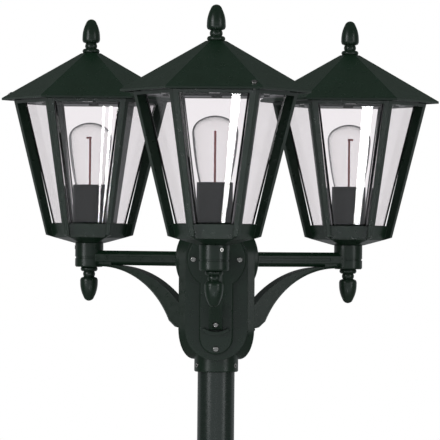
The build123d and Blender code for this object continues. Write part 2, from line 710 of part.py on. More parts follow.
with BuildPart() as brace:
    with BuildSketch(Plane.XZ):
        with BuildLine():
            lower = ThreePointArc(
                arm_point(BRACE_LOWER_START, brace_lower_z(BRACE_LOWER_START)),
                arm_point(LOWER_MIDDLE, brace_lower_z(LOWER_MIDDLE)),
                arm_point(BRACE_LOWER_END, brace_lower_z(BRACE_LOWER_END)),
            )
            toe = Line(lower @ 1, arm_point(BRACE_TOE_DISTANCE, BRACE_TOE_Z))
            foot = Line(toe @ 1, arm_point(PLATE_FACE, BRACE_FOOT_Z))
            back = Line(foot @ 1, arm_point(PLATE_FACE, brace_upper_z(PLATE_FACE)))
            upper = ThreePointArc(
                back @ 1,
                arm_point(UPPER_MIDDLE, brace_upper_z(UPPER_MIDDLE)),
                arm_point(BRACE_UPPER_START, brace_upper_z(BRACE_UPPER_START)),
            )
            crown_z = ARM_BEVEL - ARM_SIZE / 2
            Polyline(
                upper @ 1,
                arm_point(BRACE_UPPER_START, crown_z),
                arm_point(BRACE_LOWER_START, crown_z),
                lower @ 0,
            )
        make_face()
    extrude(amount=BRACE_WIDTH / 2, both=True)
    outline_edges = brace.faces().filter_by(Axis.Y).edges()
    under_lengths = (lower.length, toe.length)
    under_edges = outline_edges.filter_by(
        lambda edge: any(math.isclose(edge.length, length, rel_tol=1e-4) for length in under_lengths)
    )
    chamfer(under_edges, BRACE_BEVEL)

with BuildPart() as arm:
    with BuildSketch(Plane.XY.offset(BOSS_FOOT_Z)):
        Circle(BOSS_RADIUS)
    extrude(amount=DISH_LOW_Z - BOSS_FOOT_Z)
    chamfer(arm.edges().group_by(Axis.Z)[0], BOSS_EDGE)
    with BuildSketch(Plane.XY.offset(-BOSS_GROOVE / 2)):
        Circle(BOSS_RADIUS)
        Circle(BOSS_RADIUS - BOSS_GROOVE_DEPTH, mode=Mode.SUBTRACT)
    extrude(amount=BOSS_GROOVE, mode=Mode.SUBTRACT)
    with BuildSketch(outward_plane(PLATE_FACE)) as bar_section:
        section = Rectangle(ARM_SIZE, ARM_SIZE)
        chamfer(section.vertices(), ARM_BEVEL)
    extrude(amount=ARM_REACH - PLATE_FACE - BOSS_RADIUS / 2)
    with BuildSketch(outward_plane(PLATE_FACE)):
        Circle(ROOT_RADIUS)
    extrude(amount=ROOT_THICKNESS)
    add(brace.part)
    for side in (-1, 1):
        with BuildSketch(Plane.XZ.offset(side * ARM_SIZE / 2)):
            with Locations(arm_point((PLATE_FACE + ARM_REACH - BOSS_RADIUS) / 2, 0)):
                Rectangle(ARM_REACH - PLATE_FACE - BOSS_RADIUS - 2 * FLUTE_MARGIN, FLUTE_HEIGHT)
        extrude(amount=-side * FLUTE_DEPTH, mode=Mode.SUBTRACT)
    # The spigot's bore, the stud's hole and the way of the wires.
    with BuildSketch(Plane.XY.offset(DISH_LOW_Z)):
        Circle(SPIGOT_RADIUS + SPIGOT_PLAY)
    extrude(amount=BOSS_FOOT_Z + BOSS_WEB - DISH_LOW_Z, mode=Mode.SUBTRACT)
    with BuildSketch(Plane.XY.offset(BOSS_FOOT_Z)):
        Circle(STUD_RADIUS + HOLE_PLAY / 2)
    extrude(amount=STUD_LENGTH, mode=Mode.SUBTRACT)
    with BuildSketch(outward_plane(PLATE_FACE)):
        Circle(ARM_BORE_RADIUS)
    extrude(amount=ARM_REACH - PLATE_FACE - SPIGOT_RADIUS, mode=Mode.SUBTRACT)
    with BuildSketch(outward_plane(PLATE_FACE)):
        with Locations((-ROOT_SCREW_SIDE, 0), (ROOT_SCREW_SIDE, 0)):
            Circle(ROOT_SCREW_RADIUS + HOLE_PLAY)
    extrude(amount=ROOT_THICKNESS - ROOT_SKIN, mode=Mode.SUBTRACT)
    with BuildSketch(outward_plane(PLATE_FACE, BRACE_SCREW_Z)):
        Circle(SCREW_RADIUS + HOLE_PLAY)
    extrude(amount=BRACE_LOWER_END - PLATE_FACE, mode=Mode.SUBTRACT)
    with BuildSketch(outward_plane(BRACE_SCREW_SEAT, BRACE_SCREW_Z)):
        Circle(SCREW_HEAD_RADIUS + HOLE_PLAY)
    extrude(amount=BRACE_LOWER_END - BRACE_SCREW_SEAT + CUT_PAST, mode=Mode.SUBTRACT)
    grub_turn = math.radians(HEAD_GRUB_ANGLE)
    grub_way = (math.cos(grub_turn), math.sin(grub_turn), 0)
    grub_plane = Plane(
        origin=(BOSS_RADIUS * grub_way[0], BOSS_RADIUS * grub_way[1], HEAD_GRUB_Z),
        x_dir=UP,
        z_dir=grub_way,
    )
    with BuildSketch(grub_plane):
        Circle(GRUB_RADIUS + HOLE_PLAY / 2)
    extrude(amount=BOSS_RADIUS - SPIGOT_RADIUS, both=True, mode=Mode.SUBTRACT)

head_grub = grub_plane.offset(GRUB_PROUD).location * grub_screw(
    GRUB_RADIUS, BOSS_RADIUS - SPIGOT_RADIUS + GRUB_PROUD
)

# ----------------------------------------------------- wall plate and seal
def plate_outline(shrink=0.0):
    """Disc and tongue of the wall plate, as a sketch facing out."""
    with BuildSketch(Plane.XY) as outline:
        Circle(PLATE_RADIUS - shrink)
        with Locations((0, PLATE_LOW_Z)):
            Circle(PLATE_TONGUE_HALF - shrink)
        with Locations((0, PLATE_LOW_Z / 2)):
            Rectangle(2 * (PLATE_TONGUE_HALF - shrink), -PLATE_LOW_Z)
    return outline.sketch


SCREW_SPOTS = [(-PLATE_SCREW_SIDE, 0), (PLATE_SCREW_SIDE, 0), (0, PLATE_SCREW_LOW_Z)]
ROOT_SPOTS = [(-ROOT_SCREW_SIDE, 0), (ROOT_SCREW_SIDE, 0)]

with BuildPart() as wall_plate:
    with BuildSketch(outward_plane(PLATE_BACK)):
        add(plate_outline())
    extrude(amount=PLATE_THICKNESS)
    front_edges = wall_plate.faces().sort_by(Axis.X)[-1].edges()
    chamfer(front_edges, PLATE_EDGE)
    # The curved lip that the foot of the brace stands in.
    with BuildSketch(outward_plane(PLATE_FACE - LIP_ROOT, LIP_CENTRE_Z)):
        with BuildLine():
            low, high = -90 - LIP_HALF_ANGLE, -90 + LIP_HALF_ANGLE
            outer_arc = CenterArc((0, 0), LIP_RADIUS, low, high - low)
            inner_arc = CenterArc((0, 0), LIP_INNER, low, high - low)
            Line(outer_arc @ 0, inner_arc @ 0)
            Line(outer_arc @ 1, inner_arc @ 1)
        make_face()
    extrude(amount=LIP_HEIGHT + LIP_ROOT)
    with BuildSketch(outward_plane(PLATE_BACK)):
        Circle(ARM_BORE_RADIUS)
        with Locations(*SCREW_SPOTS):
            Circle(SCREW_RADIUS + HOLE_PLAY)
        with Locations(*ROOT_SPOTS):
            Circle(ROOT_SCREW_RADIUS + HOLE_PLAY)
        with Locations((0, BRACE_SCREW_Z)):
            Circle(SCREW_RADIUS + HOLE_PLAY)
    extrude(amount=PLATE_THICKNESS, mode=Mode.SUBTRACT)
    with BuildSketch(outward_plane(PLATE_BACK)):
        with Locations(*ROOT_SPOTS):
            Circle(ROOT_SCREW_HEAD_RADIUS + HOLE_PLAY)
    extrude(amount=ROOT_SCREW_HEAD_HEIGHT, mode=Mode.SUBTRACT)

with BuildPart() as gasket:
    with BuildSketch(outward_plane(PAD_FACE)):
        add(plate_outline(PLATE_EDGE))
        Circle(HUB_WIRE_RADIUS, mode=Mode.SUBTRACT)
        with Locations(*SCREW_SPOTS):
            Circle(SCREW_RADIUS + HOLE_PLAY, mode=Mode.SUBTRACT)
    extrude(amount=GASKET_THICKNESS)

def outward_spot(distance, side, z):
    """Place on an outward plane, a distance to the side of the arm."""
    return outward_plane(distance, z).location * Location((side, 0, 0))


plate_screw = slotted_screw(SCREW_HEAD_RADIUS, SCREW_HEAD_HEIGHT, SCREW_RADIUS, PLATE_SCREW_LENGTH)
plate_screw_set = [outward_spot(PLATE_FACE, side, z) * plate_screw for side, z in SCREW_SPOTS]
brace_screw = outward_plane(BRACE_SCREW_SEAT, BRACE_SCREW_Z).location * slotted_screw(
    SCREW_HEAD_RADIUS, SCREW_HEAD_HEIGHT, SCREW_RADIUS, BRACE_SCREW_SEAT - BRACE_SCREW_TIP
)

with BuildPart() as root_screw:
    with BuildSketch(Plane.XY):
        Circle(ROOT_SCREW_HEAD_RADIUS)
    extrude(amount=ROOT_SCREW_HEAD_HEIGHT)
    with BuildSketch(Plane.XY):
        Circle(ROOT_SCREW_RADIUS)
    extrude(amount=PLATE_THICKNESS + ROOT_THICKNESS - 2 * ROOT_SKIN)

root_screw_set = [outward_spot(PLATE_BACK, side, z) * root_screw.part for side, z in ROOT_SPOTS]

# --------------------------------------------- the head's pieces are placed
os.makedirs("parts", exist_ok=True)

HEAD_PIECES = {
    "roof": roof.part,
    "top_finial": top_finial,
    "roof_screw": roof_screw,
    "cage": cage.part,
    "panes": group(pane_solids),
    "lamp_holder": lamp_holder.part,
    "holder_insert": holder_insert.part,
    "bulb_glass": bulb_glass.part,
    "bulb_cap": bulb_cap.part,
    "bulb_filament": bulb_filament.part,
    "nipple": nipple.part,
    "base_dish": base_dish.part,
    "arm": arm.part,
    "bottom_finial": bottom_finial,
    "wall_plate": wall_plate.part,
}
SHARED_SETS = {
    "pane_clips": clip_solids,
    "lock_nuts": [lock_nut.part],
    "head_grub_screws": [head_grub],
    "plate_screws": plate_screw_set,
    "brace_screws": [brace_screw],
    "arm_root_screws": root_screw_set,
    "plate_gaskets": [gasket.part],
}

for head, angle in HEADS.items():
    for piece, shape in HEAD_PIECES.items():
        save(shape.moved(head_place(angle)), f"{head}_{piece}")

for label, solids in SHARED_SETS.items():
    copies = [solid.moved(head_place(angle)) for angle in HEADS.values() for solid in solids]
    save(group(copies), label)


# --------------------------------------------------------------------- hub
def post_plane(angle, distance, z):
    """Upright plane facing out from the pole, at a height over the arm axis."""
    turn = math.radians(angle)
    out = (math.cos(turn), math.sin(turn), 0)
    spot = (distance * out[0], distance * out[1], ARM_HEIGHT + z)
    return Plane(origin=spot, x_dir=(-out[1], out[0], 0), z_dir=out)


GRUB_ANGLES = [angle + 60 for angle in HEADS.values()]

with BuildPart() as hub:
    for angle in HEADS.values():
        with BuildSketch(post_plane(angle, PAD_BACK, 0)):
            Circle(PAD_HALF_WIDTH)
            with Locations((0, PAD_LOW_Z)):
                Circle(PAD_HALF_WIDTH)
            with Locations((0, PAD_LOW_Z / 2)):
                Rectangle(2 * PAD_HALF_WIDTH, -PAD_LOW_Z)
        extrude(amount=PAD_FACE - PAD_BACK)
    with BuildSketch(Plane.XY.offset(ARM_HEIGHT + COLLAR_FOOT_Z)):
        Circle(COLLAR_RADIUS)
    extrude(amount=HUB_TOP_Z - COLLAR_FOOT_Z)
    chamfer(hub.edges().group_by(Axis.Z)[0], COLLAR_EDGE)
    with BuildSketch(Plane.XY.offset(ARM_HEIGHT + COLLAR_FOOT_Z)):
        Circle(POLE_RADIUS + POLE_PLAY)
    extrude(amount=POLE_STOP_Z - COLLAR_FOOT_Z, mode=Mode.SUBTRACT)
    with BuildSketch(Plane.XY.offset(ARM_HEIGHT + POLE_STOP_Z)):
        Circle(HUB_CAVITY_RADIUS)
    extrude(amount=HUB_TOP_Z - HUB_TOP_WALL - POLE_STOP_Z, mode=Mode.SUBTRACT)
    # The shelf for the terminal block, with holes for the wires.
    with BuildSketch(Plane.XY.offset(ARM_HEIGHT + HUB_SHELF_Z)):
        Circle(HUB_CAVITY_RADIUS + HUB_SHELF_ROOT)
        with PolarLocations(SHELF_HOLE_CIRCLE_RADIUS, len(HEADS)):
            Circle(SHELF_HOLE_RADIUS, mode=Mode.SUBTRACT)
    extrude(amount=-HUB_SHELF_THICKNESS)
    for angle in HEADS.values():
        with BuildSketch(post_plane(angle, PAD_FACE, 0)):
            Circle(HUB_WIRE_RADIUS)
        extrude(amount=HUB_CAVITY_RADIUS - PAD_FACE - CUT_PAST, mode=Mode.SUBTRACT)
        with BuildSketch(post_plane(angle, PAD_FACE, 0)):
            with Locations(*SCREW_SPOTS):
                Circle(SCREW_RADIUS + HOLE_PLAY / 2)
        extrude(amount=PLATE_FACE - PAD_FACE - PLATE_SCREW_LENGTH - STUD_PLAY, mode=Mode.SUBTRACT)
    for angle in GRUB_ANGLES:
        with BuildSketch(post_plane(angle, POLE_RADIUS, HUB_GRUB_Z)):
            Circle(POLE_GRUB_RADIUS + HOLE_PLAY / 2)
        extrude(amount=COLLAR_RADIUS - POLE_RADIUS + CUT_PAST, mode=Mode.SUBTRACT)

# ------------------------------------------------------------ pole and foot
POLE_TOP_Z = ARM_HEIGHT + POLE_STOP_Z

with BuildPart() as pole:
    with BuildSketch(Plane.XY.offset(FOOT_WEB)):
        Circle(POLE_RADIUS)
        Circle(POLE_RADIUS - POLE_WALL, mode=Mode.SUBTRACT)
    extrude(amount=POLE_TOP_Z - FOOT_WEB)

with BuildPart() as foot:
    with BuildSketch(Plane.XZ):
        with BuildLine():
            base = Polyline(
                (0, 0),
                (FOOT_RADIUS, 0),
                (FOOT_RADIUS, FOOT_FLANGE),
                (FOOT_CONE_RADIUS, FOOT_FLANGE + FOOT_EDGE),
            )
            sweep_in = Spline(
                base @ 1,
                (COLLAR_RADIUS, FOOT_CONE_TOP_Z),
                tangents=((-1, 0.15), (0, 1)),
            )
            Polyline(sweep_in @ 1, (COLLAR_RADIUS, FOOT_TOP_Z), (0, FOOT_TOP_Z), (0, 0))
        make_face()
    revolve(axis=Axis.Z)
    rim = foot.edges().filter_by(GeomType.CIRCLE).filter_by(lambda e: e.radius == FOOT_RADIUS)
    fillet(rim.sort_by(Axis.Z)[-1], FOOT_EDGE)
    chamfer(foot.edges().group_by(Axis.Z)[-1], COLLAR_EDGE)
    with BuildSketch(Plane.XY.offset(FOOT_TOP_Z)):
        Circle(POLE_RADIUS + POLE_PLAY)
    extrude(amount=FOOT_WEB - FOOT_TOP_Z, mode=Mode.SUBTRACT)
    with BuildSketch(Plane.XY):
        Circle(GROMMET_RADIUS)
        for angle in GRUB_ANGLES:
            turn = math.radians(angle)
            with Locations((ANCHOR_CIRCLE_RADIUS * math.cos(turn), ANCHOR_CIRCLE_RADIUS * math.sin(turn))):
                Circle(ANCHOR_RADIUS)
    extrude(amount=FOOT_TOP_Z, mode=Mode.SUBTRACT)
    for angle in GRUB_ANGLES:
        with BuildSketch(post_plane(angle, POLE_RADIUS, FOOT_GRUB_Z - ARM_HEIGHT)):
            Circle(POLE_GRUB_RADIUS + HOLE_PLAY / 2)
        extrude(amount=COLLAR_RADIUS - POLE_RADIUS + CUT_PAST, mode=Mode.SUBTRACT)

pole_grub = grub_screw(POLE_GRUB_RADIUS, COLLAR_RADIUS + GRUB_PROUD - POLE_RADIUS)
pole_grubs = [
    post_plane(angle, COLLAR_RADIUS + GRUB_PROUD, z).location * pole_grub
    for angle in GRUB_ANGLES
    for z in (HUB_GRUB_Z, FOOT_GRUB_Z - ARM_HEIGHT)
]

with BuildPart() as cable_grommet:
    with BuildSketch(Plane.XY.offset(GROMMET_LIP_HEIGHT)):
        Circle(GROMMET_RADIUS)
    extrude(amount=FOOT_WEB - GROMMET_LIP_HEIGHT)
    with BuildSketch(Plane.XY.offset(FOOT_WEB)):
        Circle(GROMMET_RADIUS + GROMMET_LIP)
    extrude(amount=GROMMET_LIP_HEIGHT)
    with BuildSketch(Plane.XY):
        Circle(GROMMET_BORE_RADIUS)
    extrude(amount=FOOT_WEB + GROMMET_LIP_HEIGHT, mode=Mode.SUBTRACT)

with BuildPart() as terminal_block:
    with BuildSketch(Plane.XY.offset(ARM_HEIGHT + HUB_SHELF_Z)):
        Rectangle(BLOCK_LENGTH, BLOCK_WIDTH)
    extrude(amount=BLOCK_HEIGHT)
    with BuildSketch(Plane.XZ.offset(BLOCK_WIDTH / 2)):
        with Locations((0, ARM_HEIGHT + HUB_SHELF_Z + BLOCK_HEIGHT / 2)):
            with GridLocations(BLOCK_LENGTH / BLOCK_WAYS, 1, BLOCK_WAYS, 1):
                Circle(BLOCK_WAY_RADIUS)
    extrude(amount=-BLOCK_WIDTH, mode=Mode.SUBTRACT)

save(hub.part, "hub")
save(pole.part, "pole")
save(foot.part, "foot")
save(group(pole_grubs), "pole_grub_screws")
save(cable_grommet.part, "cable_grommet")
save(terminal_block.part, "terminal_block")
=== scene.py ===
"""Looks of the triple head lamp post: materials, floor, lamps and camera.

Metres, +Z up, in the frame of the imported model: the origin is on the pole's
axis, on the ground, and the front lantern stands towards -Y.
"""

import json
import math
from typing import NamedTuple

import bpy
from mathutils import Matrix, Vector

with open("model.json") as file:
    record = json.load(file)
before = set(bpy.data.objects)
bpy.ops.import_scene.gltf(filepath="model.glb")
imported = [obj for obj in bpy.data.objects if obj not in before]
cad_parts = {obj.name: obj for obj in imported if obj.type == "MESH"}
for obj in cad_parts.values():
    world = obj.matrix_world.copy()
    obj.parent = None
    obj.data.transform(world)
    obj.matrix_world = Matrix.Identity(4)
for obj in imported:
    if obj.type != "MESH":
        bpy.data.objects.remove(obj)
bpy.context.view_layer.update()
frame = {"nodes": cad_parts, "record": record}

MM = 0.001

# ------------------------------------------------- places of the model's parts
ARM_HEIGHT = 1.770
ARM_REACH = 0.207
# Each head's direction from the pole, in degrees anticlockwise from +X.
HEADS = {"front": -90.0, "right": 30.0, "left": 150.0}
CAGE_TOP_RADIUS = 0.1065
CAGE_FOOT_RADIUS = 0.0605
CAGE_HEIGHT = 0.186
# A cage is six-sided, so its faces lean by less than its corners do.
FACE_TILT = math.atan((CAGE_TOP_RADIUS - CAGE_FOOT_RADIUS) / CAGE_HEIGHT * math.cos(math.pi / 6))
# Distance from a head's axis to its front pane, at this height over the arm.
PANE_OUT = 0.0751
PANE_OUT_HEIGHT = 0.200

# ---------------------------------------------------------------------- camera
# Fitted to the photograph: focal length in its pixels, angles in radians.
IMAGE_SIZE = 440
FOCAL_PIXELS = 3206.15
CAMERA_SPOT = Vector((0.0808, -4.3358, ARM_HEIGHT + 0.0368))
CAMERA_PITCH = 0.00376
CAMERA_YAW = 0.01786
CAMERA_ROLL = 0.00903
VIEW_DEPTH = 100.0


def camera_axes():
    """Right, up and forward of the camera, as unit vectors."""
    forward = Vector(
        (
            -math.sin(CAMERA_YAW) * math.cos(CAMERA_PITCH),
            math.cos(CAMERA_YAW) * math.cos(CAMERA_PITCH),
            math.sin(CAMERA_PITCH),
        )
    )
    level = Vector((math.cos(CAMERA_YAW), math.sin(CAMERA_YAW), 0))
    upright = level.cross(forward)
    right = level * math.cos(CAMERA_ROLL) + upright * math.sin(CAMERA_ROLL)
    up = upright * math.cos(CAMERA_ROLL) - level * math.sin(CAMERA_ROLL)
    return right, up, forward


def make_camera():
    right, up, forward = camera_axes()
    data = bpy.data.cameras.new("photo_camera")
    data.sensor_fit = "HORIZONTAL"
    data.angle = 2 * math.atan(IMAGE_SIZE / 2 / FOCAL_PIXELS)
    data.clip_end = VIEW_DEPTH
    camera = bpy.data.objects.new("photo_camera", data)
    bpy.context.scene.collection.objects.link(camera)
    turn = Matrix((right, up, -forward)).transposed().to_4x4()
    camera.matrix_world = Matrix.Translation(CAMERA_SPOT) @ turn
    bpy.context.scene.camera = camera


def pixel_ray(x, y):
    """Direction in which the camera sees a pixel of the photograph's frame."""
    right, up, forward = camera_axes()
    half = IMAGE_SIZE / 2
    return (forward * FOCAL_PIXELS + right * (x - half) + up * (half - y)).normalized()


# ------------------------------------------------------------------- materials
# A noise stays near its middle, so only that part is spread over a range.
SPREAD_SPAN = (0.3, 0.7)
RAMP_SPAN = (0.32, 0.68)
EDGE_SAMPLES = 4
NOISE_ROUGHNESS = 0.55


class Maker:
    """Builds one node material, a node at a time."""

    def __init__(self, name):
        self.material = bpy.data.materials.new(name)
        self.material.use_nodes = True
        self.tree = self.material.node_tree
        self.shader = self.tree.nodes["Principled BSDF"]

    def node(self, kind, **values):
        made = self.tree.nodes.new(kind)
        for key, value in values.items():
            setattr(made, key, value)
        return made

    def link(self, source, target):
        self.tree.links.new(source, target)

    def set(self, **values):
        """Sets the shader's constants, with underscores for the spaces in their names."""
        for key, value in values.items():
            self.shader.inputs[key.replace("_", " ")].default_value = value

    def feed(self, name, source):
        """Links a node's output to one of the shader's inputs."""
        self.link(source, self.shader.inputs[name])

    def show(self, output):
        """Makes a shader node's output the look of the surface."""
        self.link(output, self.tree.nodes["Material Output"].inputs["Surface"])

    def glow(self, colour):
        made = self.node("ShaderNodeEmission")
        made.inputs["Color"].default_value = (*colour, 1)
        return made

    def noise(self, scale, detail):
        """Noise in the object's own coordinates, with its scale per metre."""
        place = self.node("ShaderNodeTexCoord").outputs["Object"]
        made = self.node("ShaderNodeTexNoise")
        made.inputs["Scale"].default_value = scale
        made.inputs["Detail"].default_value = detail
        made.inputs["Roughness"].default_value = NOISE_ROUGHNESS
        self.link(place, made.inputs["Vector"])
        return made.outputs["Fac"]

    def spread(self, source, low, high):
        """Maps a noise value to a range, round its middle."""
        made = self.node("ShaderNodeMapRange")
        made.inputs["From Min"].default_value = SPREAD_SPAN[0]
        made.inputs["From Max"].default_value = SPREAD_SPAN[1]
        made.inputs["To Min"].default_value = low
        made.inputs["To Max"].default_value = high
        self.link(source, made.inputs["Value"])
        return made.outputs["Result"]

    def ramp(self, source, low, high, span=RAMP_SPAN):
        """Colours from low to high as a value goes through the span."""
        made = self.node("ShaderNodeValToRGB")
        for element, position, colour in zip(made.color_ramp.elements, span, (low, high)):
            element.position = position
            element.color = (*colour, 1)
        self.link(source, made.inputs["Fac"])
        return made.outputs["Color"]

    def bump(self, height, distance, strength, below=None):
        made = self.node("ShaderNodeBump")
        made.inputs["Distance"].default_value = distance
        made.inputs["Strength"].default_value = strength
        self.link(height, made.inputs["Height"])
        if below is not None:
            self.link(below, made.inputs["Normal"])
        return made.outputs["Normal"]

    def soft_edges(self, radius):
        """Normals as if every sharp edge were slightly rounded."""
        made = self.node("ShaderNodeBevel", samples=EDGE_SAMPLES)
        made.inputs["Radius"].default_value = radius
        return made.outputs["Normal"]


class Kind(NamedTuple):
    """A kind of surface. Its noises are pairs of a scale per metre and a detail."""

    shader: dict
    colour_noise: tuple
    gloss_noise: tuple
    gloss_span: tuple
    grain_noise: tuple
    grain_depth: float
    edge: float
    waves: float = 0.0


WAVE_NOISE = (55, 2)
WAVE_DEPTH = 1.2 * MM
PAINT_TINT = (0.96, 0.98, 1.0, 1)

CAST_COAT = Kind(
    shader={"Metallic": 0.0, "Specular_IOR_Level": 0.75, "Specular_Tint": PAINT_TINT},
    colour_noise=(38, 4),
    gloss_noise=(140, 3),
    gloss_span=(-0.04, 0.06),
    grain_noise=(1300, 2),
    grain_depth=0.25 * MM,
    edge=0.9 * MM,
    waves=0.10,
)
TUBE_COAT = CAST_COAT._replace(
    shader={"Metallic": 0.0, "Specular_IOR_Level": 1.0, "Specular_Tint": PAINT_TINT},
    edge=0.4 * MM,
    waves=0.03,
)
METAL = Kind(
    shader={"Metallic": 1.0},
    colour_noise=(400, 3),
    gloss_noise=(900, 2),
    gloss_span=(-0.05, 0.08),
    grain_noise=(2500, 2),
    grain_depth=0.1 * MM,
    edge=0.3 * MM,
)
MOULDED = Kind(
    shader={"Specular_IOR_Level": 0.45},
    colour_noise=(60, 3),
    gloss_noise=(300, 2),
    gloss_span=(-0.04, 0.06),
    grain_noise=(1800, 2),
    grain_depth=0.1 * MM,
    edge=0.4 * MM,
)


def surface(name, kind, low, high, roughness, grain):
    """Opaque material between two colours, with soft edges and a fine grain."""
    made = Maker(name)
    made.set(**kind.shader)
    made.feed("Base Color", made.ramp(made.noise(*kind.colour_noise), low, high))
    glossier, rougher = kind.gloss_span
    gloss = made.noise(*kind.gloss_noise)
    made.feed("Roughness", made.spread(gloss, roughness + glossier, roughness + rougher))
    normal = made.soft_edges(kind.edge)
    if kind.waves:
        normal = made.bump(made.noise(*WAVE_NOISE), WAVE_DEPTH, kind.waves, normal)
    normal = made.bump(made.noise(*kind.grain_noise), kind.grain_depth, grain, normal)
    made.feed("Normal", normal)
    return made.material


GLASS_IOR = 1.5
RIPPLE_NOISE = (9, 1)
RIPPLE_DEPTH = 2 * MM
# Where the dark rim starts and is full: 0 faces the viewer and 1 is edge on.
RIM_SPAN = (0.62, 0.92)
RIM_BLEND = 0.5


def glass(name, colour, ripple, rim=None):
    """Clear glass, which the rim's colour darkens where it is seen edge on."""
    made = Maker(name)
    made.set(Base_Color=(*colour, 1), Roughness=0.0, IOR=GLASS_IOR, Transmission_Weight=1.0)
    made.feed("Normal", made.bump(made.noise(*RIPPLE_NOISE), RIPPLE_DEPTH, ripple))
    if rim is not None:
        facing = made.node("ShaderNodeLayerWeight")
        facing.inputs["Blend"].default_value = RIM_BLEND
        made.feed("Base Color", made.ramp(facing.outputs["Facing"], colour, rim, RIM_SPAN))
    return made.material


BY_SLOT = {
    "black_paint": surface(
        "cast_paint",
        CAST_COAT,
        low=(0.0044, 0.0180, 0.0078),
        high=(0.0060, 0.0216, 0.0104),
        roughness=0.30,
        grain=0.08,
    ),
    "pane_glass": glass("pane_glass", colour=(0.985, 0.962, 0.975), ripple=0.006),
    "bulb_glass": glass("bulb_glass", colour=(0.995, 0.990, 0.990), ripple=0.05, rim=(0.30, 0.29, 0.30)),
    "holder_black": surface(
        "holder_black",
        MOULDED,
        low=(0.003, 0.007, 0.006),
        high=(0.005, 0.010, 0.009),
        roughness=0.45,
        grain=0.06,
    ),
    "nickel": surface(
        "nickel", METAL, low=(0.50, 0.49, 0.46), high=(0.62, 0.60, 0.56), roughness=0.28, grain=0.10
    ),
    "filament": surface(
        "filament_wire",
        MOULDED,
        low=(0.70, 0.130, 0.125),
        high=(0.80, 0.180, 0.170),
        roughness=0.40,
        grain=0.10,
    ),
    "brass": surface(
        "brass", METAL, low=(0.52, 0.37, 0.14), high=(0.62, 0.46, 0.20), roughness=0.30, grain=0.10
    ),
    "stainless": surface(
        "stainless", METAL, low=(0.50, 0.50, 0.48), high=(0.62, 0.62, 0.60), roughness=0.14, grain=0.10
    ),
    "rubber": surface(
        "rubber",
        MOULDED,
        low=(0.014, 0.014, 0.014),
        high=(0.024, 0.024, 0.024),
        roughness=0.72,
        grain=0.30,
    ),
    "block_white": surface(
        "block_white", MOULDED, low=(0.70, 0.69, 0.65), high=(0.76, 0.75, 0.71), roughness=0.45, grain=0.10
    ),
}
# The pole has the castings' paint: its paler, bluer colours here are a painted sheen, the light that its
# round side catches.
BY_NODE = {
    "pole": surface(
        "tube_paint_painted_sheen",
        TUBE_COAT,
        low=(0.0080, 0.0180, 0.0120),
        high=(0.0098, 0.0208, 0.0144),
        roughness=0.26,
        grain=0.05,
    ),
}


def dress_frame():
    """Gives every carried-over node its own material or that of its slot."""
    slots = {part["node"]: part["material_slot"] for part in frame["record"]["subparts"]}
    for name, node in frame["nodes"].items():
        material = BY_NODE.get(name, BY_SLOT[slots[name]])
        for place in node.material_slots:
            place.material = material


# ----------------------------------------------------------------------- floor
FLOOR_RADIUS = 3.4
FLOOR_SIDES = 96
FLOOR_GREY = (0.62, 0.62, 0.62)
FLOOR_GLOW = (0.5, 0.5, 0.5)
FLOOR_ROUGHNESS = 0.8
FLOOR_SHINE = 0.1


def mesh_object(name, corners, faces, material):
    """A piece of the stage: shown in the picture, but no part of the object."""
    mesh = bpy.data.meshes.new(name)
    mesh.from_pydata([tuple(corner) for corner in corners], [], faces)
    mesh.materials.append(material)
    made = bpy.data.objects.new(name, mesh)
    bpy.context.scene.collection.objects.link(made)
    return made


def floor_material():
    """Pale floor that shows white to the camera and keeps the shadows."""
    made = Maker("floor")
    made.set(Base_Color=(*FLOOR_GREY, 1), Roughness=FLOOR_ROUGHNESS, Specular_IOR_Level=FLOOR_SHINE)
    glow = made.glow(FLOOR_GLOW)
    paths = made.node("ShaderNodeLightPath")
    made.link(paths.outputs["Is Camera Ray"], glow.inputs["Strength"])
    both = made.node("ShaderNodeAddShader")
    made.link(made.shader.outputs["BSDF"], both.inputs[0])
    made.link(glow.outputs["Emission"], both.inputs[1])
    made.show(both.outputs["Shader"])
    return made.material


def make_floor():
    turns = [2 * math.pi * step / FLOOR_SIDES for step in range(FLOOR_SIDES)]
    corners = [(FLOOR_RADIUS * math.cos(turn), FLOOR_RADIUS * math.sin(turn), 0) for turn in turns]
    mesh_object("floor", corners, [tuple(range(FLOOR_SIDES))], floor_material())


# ----------------------------------------------------------------------- world
class Zone(NamedTuple):
    """Rises smoothly from low to high as a direction's part goes from edge to full."""

    edge: float
    full: float
    low: float
    high: float


# Reflections show a dim room, paler behind (+Y) and on the ground in front
# (-Y), and dark again above the horizon.
ROOM_LEVEL = 0.08
ROOM_BEHIND = Zone(edge=0.20, full=0.60, low=0.0, high=0.24)
ROOM_FRONT = Zone(edge=-0.45, full=-0.85, low=0.0, high=0.46)
ROOM_GROUND = Zone(edge=0.12, full=-0.25, low=0.35, high=1.0)
ROOM_HORIZON = Zone(edge=0.36, full=0.10, low=0.0, high=1.0)
ROOM_COLOUR = (0.95, 0.97, 1.0)
SOFT_LEVEL = 0.6
BACKDROP_LEVEL = 1.0
WHITE = (1.0, 1.0, 1.0)
# Bounces are counted in whole numbers, so this lies between none and one.
ONE_BOUNCE = 0.5


